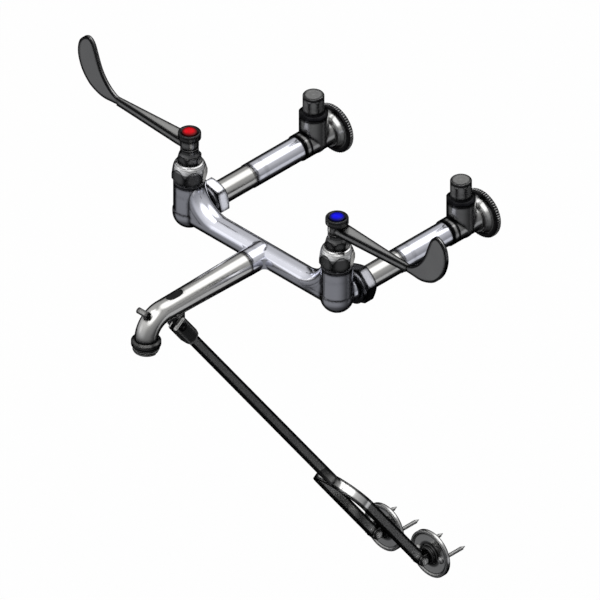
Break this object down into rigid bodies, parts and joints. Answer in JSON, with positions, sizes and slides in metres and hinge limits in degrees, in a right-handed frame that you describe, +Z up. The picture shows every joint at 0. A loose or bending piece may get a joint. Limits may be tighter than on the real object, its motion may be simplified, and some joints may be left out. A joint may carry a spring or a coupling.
{
  "type": "wall-mounted service-sink faucet",
  "caption": "Wall faucet with wrist-blade handles, built-in stops, threaded spout with pail hook, and a forked brace down to wall feet.",
  "frame": {"origin": "on the wall plane, midway between the hot and cold supply axes", "axes": "+X from hot to cold, +Y into the wall, +Z up"},
  "size_m": [0.5072, 0.4072, 0.6055],
  "materials": {
    "cast_chrome": "polished chrome over cast brass, faintly blue",
    "nickel": "satin nickel plate over brass",
    "dark_chrome": "darker plated brass, satin",
    "steel": "dark plated steel, satin",
    "brass": "bare machined brass",
    "rubber": "matt black rubber or packing",
    "ceramic": "lapped white ceramic",
    "red_plastic": "glossy red",
    "blue_plastic": "glossy blue"
  },
  "bodies": {
    "faucet": {"bonnet_gaskets": "rubber", "cold_arm_sleeve": "cast_chrome", "cold_bonnet": "dark_chrome", "cold_cartridge": "brass", "cold_coupling_nut": "cast_chrome", "cold_gland_nut": "dark_chrome", "cold_stop_body": "dark_chrome", "cold_stop_bonnet": "dark_chrome", "cold_stop_cap": "dark_chrome", "cold_supply_tube": "nickel", "cold_wall_flange": "dark_chrome", "coupling_washers": "rubber", "fixed_discs": "ceramic", "hose_outlet": "nickel", "hot_arm_sleeve": "cast_chrome", "hot_bonnet": "dark_chrome", "hot_cartridge": "brass", "hot_coupling_nut": "cast_chrome", "hot_gland_nut": "dark_chrome", "hot_stop_body": "dark_chrome", "hot_stop_bonnet": "dark_chrome", "hot_stop_cap": "dark_chrome", "hot_supply_tube": "nickel", "hot_wall_flange": "dark_chrome", "outlet_washer": "rubber", "packing_rings": "rubber", "seat_seals": "rubber", "spout": "nickel", "stop_bonnet_seals": "rubber", "valve_body": "cast_chrome"},
    "hot_valve_handle": {"hot_handle": "dark_chrome", "hot_stem": "brass", "hot_turning_disc": "ceramic", "hot_handle_screw": "steel", "hot_index_button": "red_plastic"},
    "hot_stop_plunger": {"hot_stop_washer": "rubber"},
    "hot_stop_screw": {"hot_stop_spindle": "brass"},
    "hot_brace_foot": {"hot_brace_flange": "dark_chrome", "hot_wall_screws": "steel"},
    "cold_valve_handle": {"cold_handle": "dark_chrome", "cold_stem": "brass", "cold_turning_disc": "ceramic", "cold_handle_screw": "steel", "cold_index_button": "blue_plastic"},
    "cold_stop_plunger": {"cold_stop_washer": "rubber"},
    "cold_stop_screw": {"cold_stop_spindle": "brass"},
    "cold_brace_foot": {"cold_brace_flange": "dark_chrome", "cold_wall_screws": "steel"},
    "brace": {"brace_clevis": "steel", "brace_bar": "steel", "brace_yoke": "steel", "pivot_bolt": "steel", "pivot_nut": "steel", "hinge_bolts": "steel", "hinge_nuts": "steel"}
  },
  "joints": [
    {"name": "hot_handle_turn", "type": "hinge", "parent": "faucet", "child": "hot_valve_handle", "pos_m": [-0.1016, -0.2005, 0.06], "axis": [0, 0, 1], "range_deg": [0, 90]},
    {"name": "hot_stop_rise", "type": "slide", "parent": "faucet", "child": "hot_stop_plunger", "axis": [0, 0, -1], "range_m": [0, 0.004]},
    {"name": "hot_stop_turn", "type": "hinge", "parent": "hot_stop_plunger", "child": "hot_stop_screw", "pos_m": [-0.1016, -0.0297, 0.03], "axis": [0, 0, -1], "range_deg": [0, 720]},
    {"name": "cold_handle_turn", "type": "hinge", "parent": "faucet", "child": "cold_valve_handle", "pos_m": [0.1016, -0.2005, 0.06], "axis": [0, 0, -1], "range_deg": [0, 90]},
    {"name": "cold_stop_rise", "type": "slide", "parent": "faucet", "child": "cold_stop_plunger", "axis": [0, 0, -1], "range_m": [0, 0.004]},
    {"name": "cold_stop_turn", "type": "hinge", "parent": "cold_stop_plunger", "child": "cold_stop_screw", "pos_m": [0.1016, -0.0297, 0.03], "axis": [0, 0, -1], "range_deg": [0, 720]},
    {"name": "brace_swing", "type": "hinge", "parent": "faucet", "child": "brace", "pos_m": [0, -0.317, -0.027], "axis": [1, 0, 0], "range_deg": [-20, 20]},
    {"name": "hot_foot_tilt", "type": "hinge", "parent": "brace", "child": "hot_brace_foot", "pos_m": [-0.0317, -0.0155, -0.4416], "axis": [1, 0, 0], "range_deg": [-20, 20]},
    {"name": "cold_foot_tilt", "type": "hinge", "parent": "brace", "child": "cold_brace_foot", "pos_m": [0.0317, -0.0155, -0.4416], "axis": [1, 0, 0], "range_deg": [-20, 20]}
  ],
  "couplings": [
    {"joint": "hot_stop_rise", "follows": "hot_stop_turn", "m_per_rad": 0.000318},
    {"joint": "cold_stop_rise", "follows": "cold_stop_turn", "m_per_rad": 0.000318},
    {"joint": "hot_foot_tilt", "follows": "brace_swing", "ratio": -1},
    {"joint": "cold_foot_tilt", "follows": "brace_swing", "ratio": -1}
  ]
}
